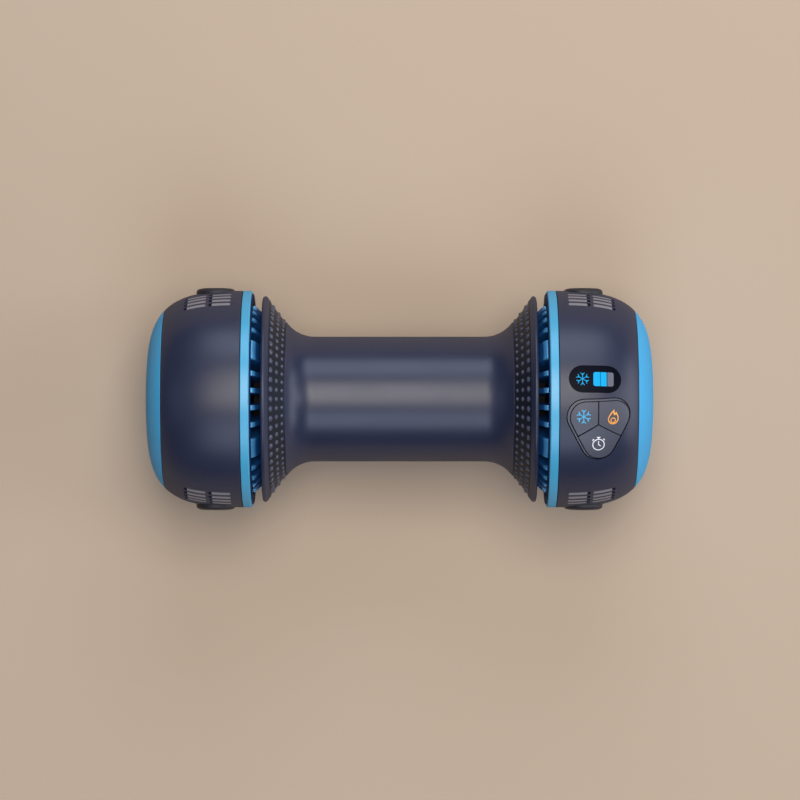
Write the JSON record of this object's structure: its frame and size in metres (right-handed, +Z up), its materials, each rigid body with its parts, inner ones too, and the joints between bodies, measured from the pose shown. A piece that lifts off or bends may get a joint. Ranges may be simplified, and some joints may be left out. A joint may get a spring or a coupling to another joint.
{
  "type": "palm cooling device",
  "caption": "Hand-held palm cooler: a cold flared grip with soft nubs between two fan-cooled heads, with a small display and three keys on one head.",
  "frame": {"origin": "on the plane that the two feet rest on, straight under the middle of the grip", "axes": "+X along the grip towards the head with the keys, +Z up through the side with the keys, +Y towards the display's side"},
  "size_m": [0.2142, 0.0942, 0.0936],
  "materials": {
    "grip_coat": "satin navy soft coat on aluminium",
    "navy_plastic": "satin moulded plastic",
    "soft_rubber": "matt silicone rubber",
    "blue_trim": "satin sky-blue lacquer on plastic",
    "blue_anodised": "blue anodised",
    "bare_aluminium": "machined",
    "white_ceramic": "ceramic",
    "black_plastic": "moulded",
    "screw_steel": "plated steel",
    "cell_wrap": "film-wrapped cell",
    "circuit_board": "solder mask",
    "dark_lens": "tinted clear plastic",
    "key_plastic": "satin moulded plastic",
    "pressed_steel": "plated steel"
  },
  "bodies": {
    "housing": {"grip_sleeve": "grip_coat", "nub_band_left": "soft_rubber", "nub_band_right": "soft_rubber", "core_tube": "bare_aluminium", "battery_cell_1": "cell_wrap", "battery_cell_2": "cell_wrap", "battery_cell_3": "cell_wrap", "cell_holder_left": "black_plastic", "cell_holder_right": "black_plastic", "driver_board": "circuit_board", "cold_plate_left": "bare_aluminium", "cold_plate_right": "bare_aluminium", "peltier_left": "white_ceramic", "peltier_right": "white_ceramic", "bell_cover_left": "navy_plastic", "bell_cover_right": "navy_plastic", "heat_sink_left": "blue_anodised", "heat_sink_right": "blue_anodised", "clamp_screw_1_left": "screw_steel", "clamp_screw_2_left": "screw_steel", "clamp_screw_3_left": "screw_steel", "clamp_screw_4_left": "screw_steel", "clamp_screw_1_right": "screw_steel", "clamp_screw_2_right": "screw_steel", "clamp_screw_3_right": "screw_steel", "clamp_screw_4_right": "screw_steel", "bezel_left": "navy_plastic", "bezel_right": "navy_plastic", "trim_ring_left": "blue_trim", "trim_ring_right": "blue_trim", "head_shell_left": "navy_plastic", "head_shell_right": "navy_plastic", "end_cap_left": "blue_trim", "end_cap_right": "blue_trim", "fan_frame_left": "black_plastic", "fan_frame_right": "black_plastic", "foot_left": "soft_rubber", "foot_right": "soft_rubber", "side_pad_front_left": "soft_rubber", "side_pad_back_left": "soft_rubber", "side_pad_front_right": "soft_rubber", "side_pad_back_right": "soft_rubber", "display_window": "dark_lens", "display_module": "black_plastic", "keypad_frame": "black_plastic", "key_board": "circuit_board", "key_switch_cool": "black_plastic", "key_switch_heat": "black_plastic", "key_switch_timer": "black_plastic", "charge_port": "pressed_steel", "charge_board": "circuit_board"},
    "left_fan": {"fan_rotor_left": "black_plastic"},
    "right_fan": {"fan_rotor_right": "black_plastic"},
    "cool_key": {"button_cool": "key_plastic"},
    "heat_key": {"button_heat": "key_plastic"},
    "timer_key": {"button_timer": "key_plastic"}
  },
  "joints": [
    {"name": "left_fan_spin", "type": "hinge", "parent": "housing", "child": "left_fan", "pos_m": [-0.075, 0, 0.0476], "axis": [-1, 0, 0], "continuous": true},
    {"name": "right_fan_spin", "type": "hinge", "parent": "housing", "child": "right_fan", "pos_m": [0.075, 0, 0.0476], "axis": [1, 0, 0], "continuous": true},
    {"name": "cool_key_press", "type": "slide", "parent": "housing", "child": "cool_key", "axis": [0, 0.2882, -0.9576], "range_m": [0, 0.0006], "stiffness_N_per_m": 1200},
    {"name": "heat_key_press", "type": "slide", "parent": "housing", "child": "heat_key", "axis": [0, 0.2882, -0.9576], "range_m": [0, 0.0006], "stiffness_N_per_m": 1200},
    {"name": "timer_key_press", "type": "slide", "parent": "housing", "child": "timer_key", "axis": [0, 0.2882, -0.9576], "range_m": [0, 0.0006], "stiffness_N_per_m": 1200}
  ]
}
